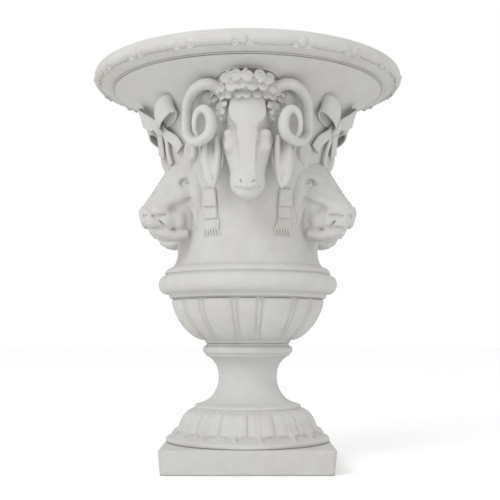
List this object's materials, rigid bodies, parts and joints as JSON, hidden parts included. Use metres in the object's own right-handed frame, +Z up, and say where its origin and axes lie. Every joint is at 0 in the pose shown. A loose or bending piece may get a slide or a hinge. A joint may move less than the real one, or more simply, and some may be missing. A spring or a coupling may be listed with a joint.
{
  "type": "garden urn",
  "caption": "Campana-shaped cast stone garden urn on a square plinth, with a gadrooned bowl, ram's heads, boar's heads and ribbon bows on its bell.",
  "frame": {"origin": "centre of the plinth's underside, on the ground", "axes": "+Z up along the urn's axis, -Y out through the front ram's head, +X to the right seen from the front"},
  "size_m": [0.627, 0.627, 0.8],
  "materials": {
    "cast_stone": "matt, cast, off-white",
    "mortar": "matt, trowelled",
    "steel": "zinc plated"
  },
  "bodies": {
    "root": {"plinth": "cast_stone", "foot": "cast_stone", "knop": "cast_stone", "bowl": "cast_stone", "body": "cast_stone", "rim": "cast_stone", "ram_front_head": "cast_stone", "ram_front_fleece": "cast_stone", "ram_front_horn_right": "cast_stone", "ram_front_horn_left": "cast_stone", "ram_front_ear_right": "cast_stone", "ram_front_ear_left": "cast_stone", "ram_back_head": "cast_stone", "ram_back_fleece": "cast_stone", "ram_back_horn_right": "cast_stone", "ram_back_horn_left": "cast_stone", "ram_back_ear_right": "cast_stone", "ram_back_ear_left": "cast_stone", "boar_1_head": "cast_stone", "boar_1_ear_right": "cast_stone", "boar_1_ear_left": "cast_stone", "bow_1": "cast_stone", "boar_2_head": "cast_stone", "boar_2_ear_right": "cast_stone", "boar_2_ear_left": "cast_stone", "bow_2": "cast_stone", "boar_3_head": "cast_stone", "boar_3_ear_right": "cast_stone", "boar_3_ear_left": "cast_stone", "bow_3": "cast_stone", "boar_4_head": "cast_stone", "boar_4_ear_right": "cast_stone", "boar_4_ear_left": "cast_stone", "bow_4": "cast_stone", "foot_bed": "mortar", "knop_lower_bed": "mortar", "knop_upper_bed": "mortar", "belt_bed": "mortar", "rim_bed": "mortar", "lock_1": "cast_stone", "lock_2": "cast_stone", "lock_3": "cast_stone", "lock_4": "cast_stone", "dowel_ram_front": "steel", "dowel_ram_back": "steel", "dowel_boar_1": "steel", "dowel_boar_2": "steel", "dowel_boar_3": "steel", "dowel_boar_4": "steel", "tie_rod": "steel", "upper_bridge": "steel", "upper_washer": "steel", "upper_nut": "steel", "lower_bridge": "steel", "lower_washer": "steel", "lower_nut": "steel"}
  },
  "joints": []
}
